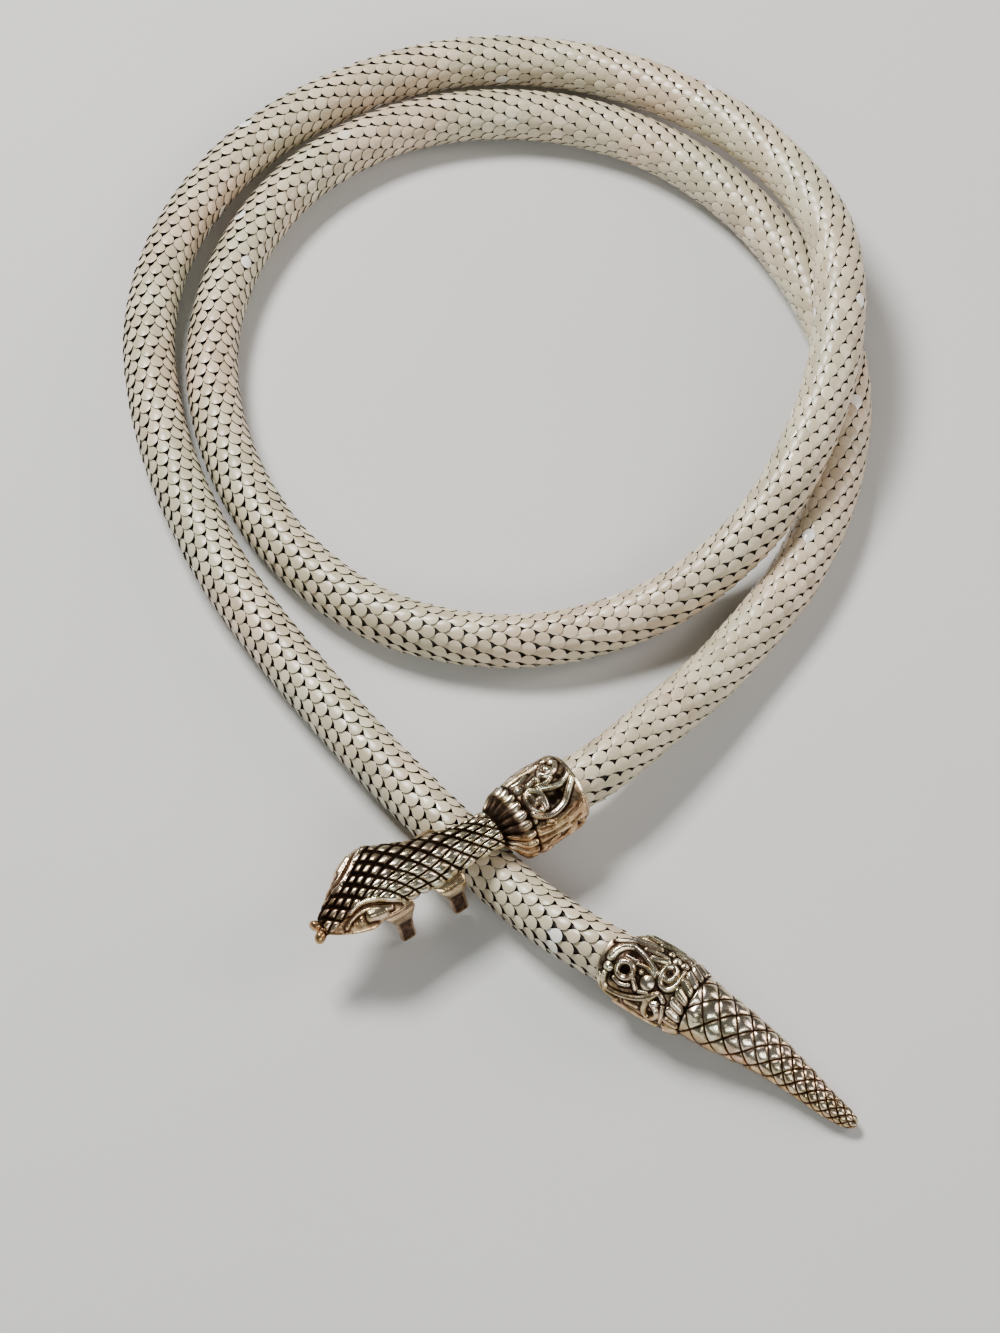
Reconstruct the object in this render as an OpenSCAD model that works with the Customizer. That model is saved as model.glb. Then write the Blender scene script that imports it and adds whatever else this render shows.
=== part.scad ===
// Snake chain necklace, lying in two loops as it would on a table.
// Millimetres. +Z is up, z = 0 is the surface that it lies on, and the origin
// is the middle of the opening for the neck. The head and the tail lie on the -Y side.

/* [Mesh chain] */
// Diameter of the scale mesh
mesh_d = 10.5; // [9:0.1:10.5]
// Rings of the mesh tube in each stretch between two route points
mesh_steps = 2; // [1:1:2]

/* [Collars] */
// Air between the mesh and the collar that holds it
collar_gap = 0.15; // [0.1:0.05:0.3]
// Depth of the socket in each collar
socket_l = 4.9; // [4.8:0.1:6]
// Width of the raised lines of the scrollwork
wire_w = 1.5; // [1:0.1:2]
// Height of the raised lines of the scrollwork
wire_h = 0.5; // [0.2:0.05:0.5]
// How often the scrollwork repeats round a collar
motifs = 3; // [2:1:3]
// Number of petals where a collar meets the scales
petals = 16; // [8:4:16]

/* [Snake head] */
// Height of the collar's axis over the surface
head_z = 10; // [10:0.1:10.5]
// How far the head's scales stand up
head_relief = 0.5; // [0.2:0.05:0.6]
// Scales across the top of the head
head_scales = 7; // [6:1:9]
// Rows of scales along the head
head_scale_rows = 11; // [9:1:13]
// Width of a claw
claw_w = 3; // [2:0.1:3.2]
// Thickness of a claw
claw_t = 1.2; // [0.8:0.1:1.4]
// Diameter of each lobe of the tongue
tongue_d = 2.3; // [1.8:0.1:2.4]

/* [Tail] */
// Height of the collar's axis over the surface
tail_z = 7.3; // [7.3:0.1:7.6]
// How far the tail's scales stand up
tail_relief = 0.5; // [0.2:0.05:0.6]
// Scales round the tail
tail_scales = 6; // [5:1:8]
// Rows of scales along the tail
tail_rows = 12; // [9:1:12]

/* [Hidden] */

enamel = "ivory";
metal = "darkkhaki";

// Route of the mesh from the head to the tail: x, y, and lift above lying flat.
mesh_route = [
    [5.9, -101.5, 4.75], [9.5, -99, 4.75], [15.5, -94.8, 4.6], [27, -83, 2.9],
    [39, -69, 0.5], [53, -48.5, 0], [61.5, -25.5, 0], [63.5, -1, 0], [56.5, 22, 0],
    [43, 42.5, 0], [23.5, 57.5, 0], [0, 63.5, 0], [-24, 59.5, 0], [-43.5, 45.5, 0],
    [-55.5, 24, 0], [-59, 0, 0], [-54, -24, 0], [-41.5, -45.5, 0], [-23, -60, 0],
    [1, -64.5, 0], [25, -58, 0.8], [44, -44.5, 6.4], [56, -23.5, 9.5], [62, 0, 11],
    [61.5, 24.5, 10.2], [51, 46.5, 7.5], [34.5, 64, 3.6], [13.5, 76, 0.3], [-11, 77.5, 0],
    [-34, 69.5, 0], [-53.5, 54.5, 0], [-66.5, 33.5, 0], [-71.5, 10, 0], [-68.5, -14.5, 0],
    [-60.5, -37.5, 0], [-48.5, -59.5, 0], [-26.5, -89, 0], [-2.5, -116, 0],
    [9, -127.1, 1.8], [16.4, -132.1, 2.05], [20.2, -134.6, 2.05]
];
// Route point where the inner loop's stretch ends and the outer loop's begins
mesh_split = 19;
mesh_sides = 12;

// Where each casting's rim is, and which way it points
head_at = [9.5, -99];
head_turn = 214.4;
tail_at = [16.4, -132.1];
tail_turn = -33.5;

// Head casting, from the collar's rim to the snout: x along it, y of its middle,
// z of its widest line, half its width, its height above that line and its depth
// below it. A depth below zero is a hollow, arched up from underneath.
head_rows = [
    [0, 0, 0, 6.2, 6.2, 6.2],
    [1, 0, 0, 6.7, 6.7, 6.7],
    [4, 0.1, 0, 6.9, 6.9, 6.9],
    [9, 0.4, -0.2, 6.9, 6.9, 6.9],
    [12, 0.6, -0.3, 6.7, 6.7, 6.7],
    [13.5, 0.7, -0.3, 6.4, 6.4, 6],
    [14.6, 0.8, 0.4, 5.9, 5.9, 3.4],
    [15.5, 0.9, 1.3, 5, 4.8, 2.4],
    [16.6, 1, 2, 4.2, 3.6, 1.9],
    [17.6, 1, 2.5, 3.6, 2.8, 1.8],
    [19.5, 1, 2.9, 3.45, 2.5, 1.9],
    [22, 1, 3, 3.5, 2.6, 2],
    [25, 0.8, 2.9, 3.9, 3, 1.6],
    [27.5, 0.4, 2.8, 4.3, 3.4, 0.4],
    [29.5, 0.3, 2.8, 4.6, 3.7, -1.2],
    [33, 0, 2.9, 5.2, 4.2, -2.4],
    [37, -0.4, 3.3, 6.8, 4, -2.4],
    [40, -0.7, 3.5, 8.1, 3.8, -2.4],
    [43, -0.5, 3.4, 7.6, 3.5, -2.2],
    [46, -0.2, 3.1, 6.2, 3, -1.7],
    [49, 0.2, 2.7, 4.5, 2.3, -1],
    [51.5, 0.3, 2.2, 2.7, 1.6, 0.3],
    [53, 0.3, 2, 1.4, 1, 0.8]
];
// Thickness of the head's shell, how far its lip stands out, and where the lip begins
lip_t = 1.1;
lip_h = 0.35;
lip_from = 36;

// Claws, as seen from the +Y side: x of the pair, and the y and z of root, bend and tip
rear_claw = [28.6, [4, 1.8], [6, 0.2], [5.9, -8.1]];
front_claw = [39.4, [5.8, 3.9], [5.7, 1.2], [5.3, -8.1]];

// Height and half the width of the brow's ridge
brow_h = 0.7;
brow_w = 0.9;
// Ridge of the brow, front corner last: x, and distance from the head's middle
brow = [[39.7, 5.4], [41.5, 4.5], [43.2, 3.4], [45, 2.5], [46.8, 2], [48.6, 2.1]];
// Almond of the eye: x, distance from the head's middle, and radius
eye = [[41.8, 5.7, 0.4], [43.4, 5.3, 0.85], [45.2, 4.9, 0.85], [47.4, 4.3, 0.4]];

// Tail casting, from the collar's rim to the tip: x, y of its middle, z of its
// middle over the collar's axis, and its radius
tail_shape = [
    [0, 0, 0, 5.9],
    [0.8, 0, 0, 6.2],
    [2.6, 0, 0, 6.3],
    [5.6, 0, 0, 6.6],
    [9.4, 0, 0, 6.7],
    [13.2, -0.1, 0, 6.6],
    [15.4, -0.2, 0, 6.3],
    [17.4, -0.2, 0, 5.7],
    [18.4, -0.2, -0.1, 5.4],
    [22, -0.3, -0.7, 5.1],
    [26, -0.1, -1.4, 4.6],
    [30, 0, -2.1, 4],
    [34, -0.1, -2.8, 3.5],
    [38, -0.5, -3.5, 3],
    [42, -1.1, -4, 2.6],
    [46, -1.8, -4.5, 2.1],
    [50, -2, -5.2, 1.6],
    [52.2, -2, -5.6, 0.8]
];
// Each ring of the tail's scales is this much of the stretch before it
tail_shrink = 0.98;

// Angle of the first motif's middle round each collar
head_motif_at = 65;
tail_motif_at = 124;
// A petal: where it starts and ends along the casting, and how far it stands out
head_petal = [11.8, 16.4, 0.6];
tail_petal = [14.8, 17.6, 0.6];
// One motif's raised lines: distance from the rim, and angle from the motif's middle
tail_ring = [5.2, 0, 1.5];
tail_scroll = [12.6, 30, 2];
tail_bars = [
    [[9.8, -4], [9.9, 4]],
    [[1.8, 18], [3, 32], [4.6, 41], [7.4, 32], [10, 20]],
    [[1.2, 40], [4.6, 54], [8.6, 58], [12, 56]]
];
head_scroll = [9, 12, 2];
head_bars = [
    [[1.2, 16], [3, 10], [4.8, 12], [6.8, 20]],
    [[1.4, 4], [3.6, -11], [6, -20], [9, -16], [10.6, -6]],
    [[1.8, 40], [3.4, 32], [4.8, 40], [3.6, 50]],
    [[2, -38], [6, -46], [11, -44]]
];
// Rings of points along a collar, and where the collar's end is
collar_rings = 22;
head_collar_l = 15.6;
tail_collar_l = 17.5;
// Steps of a ring across the top and across the underside of the head, and round the tail
head_top_steps = 4 * head_scales;
head_under_steps = 6;
tail_steps = 4 * tail_scales;
tail_collar_steps = 3 * tail_steps;

function unit(v) = v / norm(v);
function column(rows, c) = [for (row = rows) [row[0], row[c]]];

// A smooth curve through the points of a route
function curve_point(p, i, t) =
    let (a = p[max(i - 1, 0)], b = p[i], c = p[i + 1], d = p[min(i + 2, len(p) - 1)])
    b + 0.5 * t * ((c - a) + t * ((2 * a - 5 * b + 4 * c - d) + t * (3 * b - a - 3 * c + d)));
function curve(p, steps) = [
    for (i = [0 : len(p) - 2], k = [0 : steps - 1]) curve_point(p, i, k / steps),
    p[len(p) - 1]
];

// A ring of points round a centre, square to the way that the tube runs
function ring(centre, along, up, r, sides) =
    let (side = unit(cross(up, along)), top = unit(cross(along, side)))
    [for (k = [0 : sides - 1])
        let (a = 360 * (k + 0.5) / sides) centre + r * (cos(a) * side + sin(a) * top)];
function direction(p, i) = p[min(i + 1, len(p) - 1)] - p[max(i - 1, 0)];

// A closed skin through rings. Neighbours have as many points as each other, or the first
// has two or three times as many as the second. The triangles turn about every second point.
module skin(rings) {
    m = len(rings);
    start = [for (i = 0, s = 0; i < m; s = s + len(rings[i]), i = i + 1) s];
    last = len(rings[m - 1]);
    polyhedron(
        points = [for (r = rings) each r],
        faces = [
            [for (k = [0 : len(rings[0]) - 1]) k],
            [for (k = [last - 1 : -1 : 0]) start[m - 1] + k],
            for (i = [0 : m - 2], k = [0 : len(rings[i + 1]) - 1])
                let (
                    n = len(rings[i]), q = len(rings[i + 1]), s = start[i],
                    c = start[i + 1] + k, d = start[i + 1] + (k + 1) % q
                )
                each n == q
                    ? let (a = s + k, b = s + (k + 1) % n)
                      (i + k) % 2 == 0 ? [[a, c, d], [a, d, b]] : [[a, c, b], [b, c, d]]
                    : let (g = n / q, e = [for (j = [0 : g]) s + (g * k + j) % n])
                      concat([[e[1], c, d]],
                             [for (j = [0 : g - 1]) [e[j], j == 0 ? c : d, e[j + 1]]])
        ]
    );
}

// The mesh's tube

mesh_line = [
    for (p = curve(mesh_route, mesh_steps)) [p[0], p[1], mesh_d / 2 + max(0, p[2])]
];
mesh_rings = [
    for (i = [0 : len(mesh_line) - 1])
        ring(mesh_line[i], direction(mesh_line, i), [0, 0, 1],
             mesh_d / 2 / cos(180 / mesh_sides), mesh_sides)
];

module mesh_stretch(from, to)
    skin([for (i = [from : to]) mesh_rings[i]]);

module mesh_inner_loop()
    color(enamel) mesh_stretch(0, mesh_split * mesh_steps);

module mesh_outer_loop()
    color(enamel) mesh_stretch(mesh_split * mesh_steps, len(mesh_rings) - 1);

// Raised work on a casting

// Distance from a point to a line through points
function off_line(p, line) = min([
    for (i = [0 : len(line) - 2])
        let (
            a = line[i], b = line[i + 1] - a,
            t = max(0, min(1, (p - a) * b / (b * b)))
        )
        norm(p - a - t * b)
]);

// A spiral or a ring: its middle and radius, how often it turns, how far it winds in
function winding(spot, turns, wound, start, hand) =
    let (steps = round(12 * turns))
    [for (i = [0 : steps])
        let (
            a = start + hand * 360 * turns * i / steps,
            r = spot[2] * (1 - wound * i / steps)
        )
        [spot[0] + r * cos(a), spot[1] + r * sin(a)]];

// Millimetres on the collars for a degree round them
collar_r = 6.8;
function laid_flat(p) = [p[0], p[1] * collar_r * PI / 180, p[2]];

head_lines = [
    winding(laid_flat(head_scroll), 1.3, 0.65, 200, 1),
    for (bar = head_bars) curve([for (p = bar) [p[0], laid_flat(p)[1]]], 3)
];
tail_lines = [
    winding(laid_flat(tail_ring), 1, 0, 0, 1),
    for (side = [-1, 1]) each [
        winding(laid_flat([tail_scroll[0], side * tail_scroll[1], tail_scroll[2]]),
                1.3, 0.65, 180, side),
        for (bar = tail_bars) curve([for (p = bar) [p[0], side * laid_flat(p)[1]]], 3)
    ]
];

// Height of the scrollwork at a distance from the rim and an angle round the collar
function scrollwork(x, angle, lines, middle) =
    let (
        span = 360 / motifs,
        turned = (angle - middle + 1.5 * span + 720) % span - span / 2,
        p = [x, turned * collar_r * PI / 180],
        d = min([for (line = lines) off_line(p, line)])
    )
    wire_h * max(0, 1 - pow(2 * d / wire_w, 2));

// Height of the ring of petals there
function petal_work(x, angle, petal) =
    let (t = (x - petal[0]) / (petal[1] - petal[0]))
    t <= 0 || t >= 1 ? 0 : petal[2] * sin(180 * t) * max(0, cos(petals * angle));

// Height of a scale's pillow, from 0 in the grooves to 1 in the middle: u counts scales
// across and v counts rows along, and every second row lies between its neighbours
function pillow(u, v) =
    let (p = u + v, q = u - v)
    1 - pow(2 * max(abs(p - round(p)), abs(q - round(q))), 2);

// The socket's two rings, for a list of angles
function socket_rings(angles) =
    let (r = mesh_d / 2 / cos(180 / mesh_sides) + collar_gap)
    [for (x = [socket_l, 0]) [for (a = angles) [x, r * cos(a), r * sin(a)]]];

// The snake's head

function head_angles(steps) = [
    for (j = [0 : head_top_steps * steps]) 180 * j / head_top_steps / steps,
    for (j = [1 : head_under_steps * steps - 1]) 180 + 180 * j / head_under_steps / steps
];
function head_middle(x) = lookup(x, column(head_rows, 1));

brow_line = curve(brow, 3);
eye_spots = curve(eye, 3);

function face_work(x, y) =
    let (p = [x, abs(y)])
    max(
        brow_h * (1 - pow(off_line(p, brow_line) / brow_w, 2)),
        max([for (e = eye_spots)
            sqrt(max(0, e[2] * e[2] - pow(p[0] - e[0], 2) - pow(p[1] - e[1], 2)))])
    );

// Height of the head's raised work at a ring's angle, in the scales' row v
function head_work(x, a, w, v) =
    x < head_collar_l
        ? max(scrollwork(x, a, head_lines, head_motif_at), petal_work(x, a, head_petal))
        : a > 180
            ? 0
            : max(
                petal_work(x, a, head_petal),
                v < 0 ? 0 : head_relief * min(1, 2 * sin(a)) * pillow(a * head_scales / 180, v),
                face_work(x, w * cos(a)),
                sin(a) < 0.01 ? lip_h * max(0, min(1, x - lip_from)) : 0
            );

function head_ring(x, steps, v = -1) =
    let (
        y = head_middle(x),
        z = lookup(x, column(head_rows, 2)),
        w = lookup(x, column(head_rows, 3)),
        up = lookup(x, column(head_rows, 4)),
        down = lookup(x, column(head_rows, 5)),
        inner_w = down < 0 ? w - lip_t : w
    )
    [
        for (a = head_angles(steps))
            let (
                high = a <= 180 ? up : down,
                wide = a <= 180 ? w : inner_w,
                h = head_work(x, a, w, v),
                out = unit([cos(a) / wide, sin(a) / max(abs(high), 0.5)])
            )
            [x, y + wide * cos(a) + h * out[0], z + high * sin(a) + h * out[1]]
    ];

module head_body() {
    from = head_collar_l + 1;
    to = head_rows[len(head_rows) - 1][0] - 0.8;
    n = 4 * head_scale_rows;
    skin([
        each socket_rings(head_angles(2)),
        for (i = [0 : collar_rings]) head_ring(i / collar_rings * head_collar_l, 2),
        for (i = [0 : n]) head_ring(from + i / n * (to - from), 1, i / 4),
        head_ring(head_rows[len(head_rows) - 1][0], 1)
    ]);
}

// One claw: a flat bar with a round tip, wider where it leaves the head
module claw(spots, side) {
    x = spots[0];
    for (i = [1 : 2])
        hull() {
            claw_pad(x, spots[i], i == 1 ? 1.35 * claw_w : claw_w, side);
            claw_pad(x, spots[i + 1], claw_w, side);
        }
}

module claw_pad(x, spot, d, side)
    translate([x, side * spot[0], spot[1]])
        rotate([90, 0, 0]) cylinder(h = claw_t, d = d, center = true, $fn = 10);

module tongue_lobe(side)
    hull() {
        translate([51.9, 0.3 + side * 0.5, 1.9]) sphere(d = 1.5, $fn = 8);
        translate([54.8, 0.3 + side * 1.35, 1.65]) sphere(d = tongue_d, $fn = 8);
    }

module snake_head()
    color(metal)
        translate([head_at[0], head_at[1], head_z]) rotate(head_turn) {
            head_body();
            for (side = [-1, 1]) {
                claw(rear_claw, side);
                claw(front_claw, side);
                tongue_lobe(side);
            }
        }

// The tail

function tail_ring_at(x, n, v = -1) =
    let (
        y = lookup(x, column(tail_shape, 1)),
        z = lookup(x, column(tail_shape, 2)),
        r = lookup(x, column(tail_shape, 3))
    )
    [for (j = [0 : n - 1])
        let (
            a = 360 * j / n,
            scales = v < 0 ? 0 : tail_relief * min(1, r / 3) * pillow(a * tail_scales / 360, v),
            lines = v < 0 ? scrollwork(x, a, tail_lines, tail_motif_at) : 0,
            h = max(scales, lines, petal_work(x, a, tail_petal))
        )
        [x, y + (r + h) * cos(a), z + (r + h) * sin(a)]];

module tail() {
    n = 4 * tail_rows;
    from = tail_collar_l + 0.8;
    to = tail_shape[len(tail_shape) - 1][0];
    color(metal)
        translate([tail_at[0], tail_at[1], tail_z]) rotate(tail_turn)
            skin([
                each socket_rings([for (j = [0 : tail_collar_steps - 1])
                    360 * j / tail_collar_steps]),
                for (i = [0 : collar_rings])
                    tail_ring_at(i / collar_rings * tail_collar_l, tail_collar_steps),
                for (i = [0 : n - 1])
                    let (t = (1 - pow(tail_shrink, i)) / (1 - pow(tail_shrink, n)))
                    tail_ring_at(from + t * (to - from), tail_steps, i / 4),
                tail_ring_at(to, tail_steps)
            ]);
}

mesh_inner_loop();
mesh_outer_loop();
snake_head();
tail();
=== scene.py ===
import math
import random

import bmesh
import bpy
import numpy as np
from mathutils import Matrix, Vector


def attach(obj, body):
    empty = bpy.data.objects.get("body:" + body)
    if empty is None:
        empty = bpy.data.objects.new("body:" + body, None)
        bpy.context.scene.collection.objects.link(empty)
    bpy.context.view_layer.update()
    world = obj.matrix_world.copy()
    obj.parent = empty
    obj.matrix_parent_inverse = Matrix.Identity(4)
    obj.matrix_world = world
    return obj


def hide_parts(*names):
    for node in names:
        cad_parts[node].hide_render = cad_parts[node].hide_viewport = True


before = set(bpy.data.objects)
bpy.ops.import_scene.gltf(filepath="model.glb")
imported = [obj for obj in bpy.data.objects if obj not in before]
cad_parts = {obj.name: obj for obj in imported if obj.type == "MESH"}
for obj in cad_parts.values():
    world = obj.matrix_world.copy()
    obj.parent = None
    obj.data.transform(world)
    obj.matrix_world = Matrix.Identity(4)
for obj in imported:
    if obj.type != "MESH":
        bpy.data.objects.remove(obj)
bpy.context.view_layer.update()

MM = 0.001


# Sizes shared with the part's source

MESH_D = 10.5
# Route of the mesh from the head to the tail: x, y, lift above lying flat, in mm
ROUTE = [
    (5.9, -101.5, 4.75), (9.5, -99, 4.75), (15.5, -94.8, 4.6), (27, -83, 2.9),
    (39, -69, 0.5), (53, -48.5, 0), (61.5, -25.5, 0), (63.5, -1, 0), (56.5, 22, 0),
    (43, 42.5, 0), (23.5, 57.5, 0), (0, 63.5, 0), (-24, 59.5, 0), (-43.5, 45.5, 0),
    (-55.5, 24, 0), (-59, 0, 0), (-54, -24, 0), (-41.5, -45.5, 0), (-23, -60, 0),
    (1, -64.5, 0), (25, -58, 0.8), (44, -44.5, 6.4), (56, -23.5, 9.5), (62, 0, 11),
    (61.5, 24.5, 10.2), (51, 46.5, 7.5), (34.5, 64, 3.6), (13.5, 76, 0.3), (-11, 77.5, 0),
    (-34, 69.5, 0), (-53.5, 54.5, 0), (-66.5, 33.5, 0), (-71.5, 10, 0), (-68.5, -14.5, 0),
    (-60.5, -37.5, 0), (-48.5, -59.5, 0), (-26.5, -89, 0), (-2.5, -116, 0),
    (9, -127.1, 1.8), (16.4, -132.1, 2.05), (20.2, -134.6, 2.05),
]
# The route point where the two halves of the mesh meet
SPLIT = 19

HEAD_AT, HEAD_TURN = (9.5, -99, 10), 214.4
TAIL_AT, TAIL_TURN = (16.4, -132.1, 7.3), -33.5
# Head: x along it, y of its middle, z of its widest line, half width, height, depth (mm)
HEAD_SHAPE = np.array([
    (0, 0, 0, 6.2, 6.2, 6.2), (1, 0, 0, 6.7, 6.7, 6.7), (4, 0.1, 0, 6.9, 6.9, 6.9),
    (9, 0.4, -0.2, 6.9, 6.9, 6.9), (12, 0.6, -0.3, 6.7, 6.7, 6.7), (13.5, 0.7, -0.3, 6.4, 6.4, 6),
    (14.6, 0.8, 0.4, 5.9, 5.9, 3.4), (15.5, 0.9, 1.3, 5, 4.8, 2.4), (16.6, 1, 2, 4.2, 3.6, 1.9),
    (17.6, 1, 2.5, 3.6, 2.8, 1.8), (19.5, 1, 2.9, 3.45, 2.5, 1.9), (22, 1, 3, 3.5, 2.6, 2),
    (25, 0.8, 2.9, 3.9, 3, 1.6), (27.5, 0.4, 2.8, 4.3, 3.4, 0.4), (29.5, 0.3, 2.8, 4.6, 3.7, -1.2),
    (33, 0, 2.9, 5.2, 4.2, -2.4), (37, -0.4, 3.3, 6.8, 4, -2.4), (40, -0.7, 3.5, 8.1, 3.8, -2.4),
    (43, -0.5, 3.4, 7.6, 3.5, -2.2), (46, -0.2, 3.1, 6.2, 3, -1.7), (49, 0.2, 2.7, 4.5, 2.3, -1),
    (51.5, 0.3, 2.2, 2.7, 1.6, 0.3), (53, 0.3, 2, 1.4, 1, 0.8),
])
# Tail: x along it, y and z of its middle, radius (mm)
TAIL_SHAPE = np.array([
    (0, 0, 0, 5.9), (0.8, 0, 0, 6.2), (2.6, 0, 0, 6.3), (5.6, 0, 0, 6.6), (9.4, 0, 0, 6.7),
    (13.2, -0.1, 0, 6.6), (15.4, -0.2, 0, 6.3), (17.4, -0.2, 0, 5.7), (18.4, -0.2, -0.1, 5.4),
    (22, -0.3, -0.7, 5.1), (26, -0.1, -1.4, 4.6), (30, 0, -2.1, 4), (34, -0.1, -2.8, 3.5),
    (38, -0.5, -3.5, 3), (42, -1.1, -4, 2.6), (46, -1.8, -4.5, 2.1), (50, -2, -5.2, 1.6),
    (52.2, -2, -5.6, 0.8),
])
# Sockets of both collars: radius and depth (mm)
BORE_R, SOCKET_L = 5.585, 4.9


# Camera, floor and light

camera = bpy.data.objects.new("camera", bpy.data.cameras.new("camera"))
camera.data.lens = 108
camera.location = (-0.003, -0.4729, 0.6254)
camera.rotation_euler = (math.radians(33), 0, 0)
bpy.context.collection.objects.link(camera)
bpy.context.scene.camera = camera


def nodes_of(material):
    material.use_nodes = True
    tree = material.node_tree
    return tree, tree.nodes["Principled BSDF"]


def node(tree, kind, inputs=None, **settings):
    made = tree.nodes.new(kind)
    for key, value in settings.items():
        setattr(made, key, value)
    for key, value in (inputs or {}).items():
        if isinstance(value, bpy.types.NodeSocket):
            tree.links.new(value, made.inputs[key])
        else:
            made.inputs[key].default_value = value
    return made


def ramp(tree, factor, stops, interpolation="LINEAR"):
    made = node(tree, "ShaderNodeValToRGB", {"Fac": factor})
    band = made.color_ramp
    band.interpolation = interpolation
    while len(band.elements) < len(stops):
        band.elements.new(0.5)
    for element, (place, colour) in zip(band.elements, stops):
        element.position = place
        element.color = (*colour, 1) if len(colour) == 3 else colour
    return made.outputs["Color"]


def grey(value):
    return (value, value, value)


def noise(tree, vector, scale, detail=3, roughness=0.5):
    return node(tree, "ShaderNodeTexNoise", {"Vector": vector, "Scale": scale, "Detail": detail,
                                             "Roughness": roughness}).outputs["Fac"]


def math_node(tree, operation, *values):
    made = tree.nodes.new("ShaderNodeMath")
    made.operation = operation
    for socket, value in zip(made.inputs, values):
        if isinstance(value, bpy.types.NodeSocket):
            tree.links.new(value, socket)
        else:
            socket.default_value = value
    return made.outputs[0]


def mixed(tree, factor, a, b, blend="MIX"):
    made = node(tree, "ShaderNodeMix", data_type="RGBA", blend_type=blend)
    for key, value in ((0, factor), (6, a), (7, b)):
        if isinstance(value, bpy.types.NodeSocket):
            tree.links.new(value, made.inputs[key])
        else:
            made.inputs[key].default_value = (*value, 1) if key else value
    return made.outputs[2]


def own_place(tree):
    return node(tree, "ShaderNodeTexCoord").outputs["Object"]


def own_value(tree, name):
    return node(tree, "ShaderNodeAttribute", attribute_name=name).outputs["Fac"]


def bumped(tree, shader, height, strength, distance):
    made = node(tree, "ShaderNodeBump", {"Height": height, "Strength": strength,
                                         "Distance": distance})
    tree.links.new(made.outputs["Normal"], shader.inputs["Normal"])


def studio_floor():
    bm = bmesh.new()
    bmesh.ops.create_grid(bm, x_segments=1, y_segments=1, size=2.5)
    floor = bpy.data.objects.new("floor", bpy.data.meshes.new("floor"))
    bm.to_mesh(floor.data)
    bm.free()
    bpy.context.collection.objects.link(floor)
    material = bpy.data.materials.new("floor_paper")
    tree, shader = nodes_of(material)
    paper = noise(tree, own_place(tree), 9, 4)
    tree.links.new(ramp(tree, paper, [(0.3, (0.57, 0.57, 0.565)), (0.7, (0.59, 0.59, 0.585))]),
                   shader.inputs["Base Color"])
    shader.inputs["Roughness"].default_value = 0.85
    floor.data.materials.append(material)


def softbox(name, place, target, size, power, colour):
    light = bpy.data.lights.new(name, "AREA")
    light.shape = "RECTANGLE"
    light.size, light.size_y = size
    light.energy = power
    light.color = colour
    lamp = bpy.data.objects.new(name, light)
    lamp.location = place
    lamp.rotation_euler = (Vector(target) - Vector(place)).to_track_quat("-Z", "Y").to_euler()
    bpy.context.collection.objects.link(lamp)


def studio_light():
    world = bpy.data.worlds.new("studio")
    bpy.context.scene.world = world
    world.use_nodes = True
    world.node_tree.nodes["Background"].inputs["Color"].default_value = (0.75, 0.78, 0.8, 1)
    world.node_tree.nodes["Background"].inputs["Strength"].default_value = 0.15
    middle = (0, -0.03, 0)
    softbox("key_light", (-0.35, 0.35, 0.75), middle, (0.36, 0.24), 14.5, (1, 0.985, 0.95))
    softbox("front_light", (0.15, -0.75, 0.55), middle, (0.7, 0.25), 3.4, (0.96, 1, 0.96))
    softbox("side_light", (0.75, 0.05, 0.4), middle, (0.3, 0.5), 3.4, (1, 0.88, 0.83))


# Finishes

def scale_enamel():
    """Bone enamel on the mesh's scales: each its own tone, a few with a painted glint, and sides
    painted near-black as shade.
    """
    material = bpy.data.materials.new("bone_enamel")
    tree, shader = nodes_of(material)
    place = own_place(tree)
    tone = own_value(tree, "tone")
    rim = own_value(tree, "rim")
    base = ramp(tree, tone, [(0, (0.53, 0.445, 0.32)), (0.5, (0.64, 0.545, 0.4)),
                             (1, (0.77, 0.66, 0.5))])
    drift = ramp(tree, noise(tree, place, 45, 2), [(0.36, (0.9, 0.97, 0.91)), (0.64, (1, 0.93, 0.89))])
    base = mixed(tree, 1, base, drift, "MULTIPLY")
    grime = ramp(tree, noise(tree, place, 900, 4, 0.65), [(0.3, grey(0.9)), (0.6, grey(1))])
    base = mixed(tree, 1, base, grime, "MULTIPLY")
    lit = ramp(tree, rim, [(0.5, grey(0.22)), (0.9, grey(0))])
    base = mixed(tree, lit, base, (0.85, 0.77, 0.66))
    # Painted glint: a few scales' colour is whitened as if they caught the light.
    glint = ramp(tree, tone, [(0.991, grey(0)), (0.993, grey(1))])
    base = mixed(tree, glint, base, (0.92, 0.9, 0.85))
    # Painted shade: the scales' sides and undersides are coloured near-black so that they read as
    # shadow lines where the scales overlap.
    painted_shade_sides = ramp(tree, rim, [(0.42, grey(1)), (0.49, grey(0))])
    base = mixed(tree, painted_shade_sides, base, (0.02, 0.015, 0.011))
    tree.links.new(base, shader.inputs["Base Color"])
    rough = ramp(tree, noise(tree, place, 500, 3), [(0.3, grey(0.27)), (0.7, grey(0.38))])
    rough = mixed(tree, ramp(tree, tone, [(0.965, grey(0)), (0.975, grey(1))]), rough, grey(0.12))
    tree.links.new(rough, shader.inputs["Roughness"])
    shader.inputs["Coat Weight"].default_value = 0.15
    shader.inputs["Coat Roughness"].default_value = 0.22
    bumped(tree, shader, noise(tree, place, 1400, 3), 0.12, 0.0001)
    return material


def shade_inside_finish():
    """Painted shade: a near-black finish for the mesh's inside, standing in for the shade that shows
    between the scales.
    """
    material = bpy.data.materials.new("painted_shade_inside")
    tree, shader = nodes_of(material)
    tree.links.new(ramp(tree, noise(tree, own_place(tree), 700, 3),
                        [(0.3, (0.012, 0.009, 0.007)), (0.7, (0.035, 0.026, 0.02))]),
                   shader.inputs["Base Color"])
    shader.inputs["Roughness"].default_value = 0.7
    return material


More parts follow.
